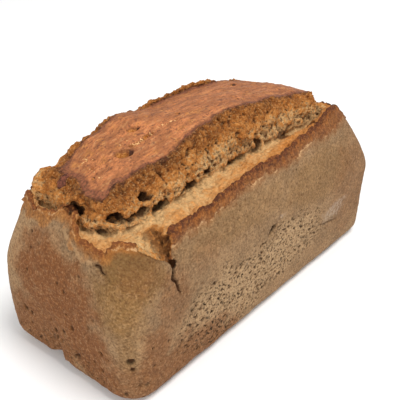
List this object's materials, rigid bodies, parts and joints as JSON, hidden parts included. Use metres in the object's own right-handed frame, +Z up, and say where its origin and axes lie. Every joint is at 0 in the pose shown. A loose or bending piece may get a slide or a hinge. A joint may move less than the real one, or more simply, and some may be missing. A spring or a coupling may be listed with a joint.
{
  "type": "spelt tin loaf",
  "caption": "Whole free-standing tin loaf of spelt bread with a burst shoulder, torn crumb and a lifted top crust.",
  "frame": {"origin": "centre of the bounding box at the flat base that the loaf stands on", "axes": "+Z up, +X along the loaf's length away from the torn end, -Y out of the long side with the wide tear"},
  "size_m": [0.2324, 0.1025, 0.1187],
  "materials": {
    "crust": "matt baked crust, with coarse open crumb where the loaf tore"
  },
  "bodies": {
    "root": {"loaf": "crust"}
  },
  "joints": []
}
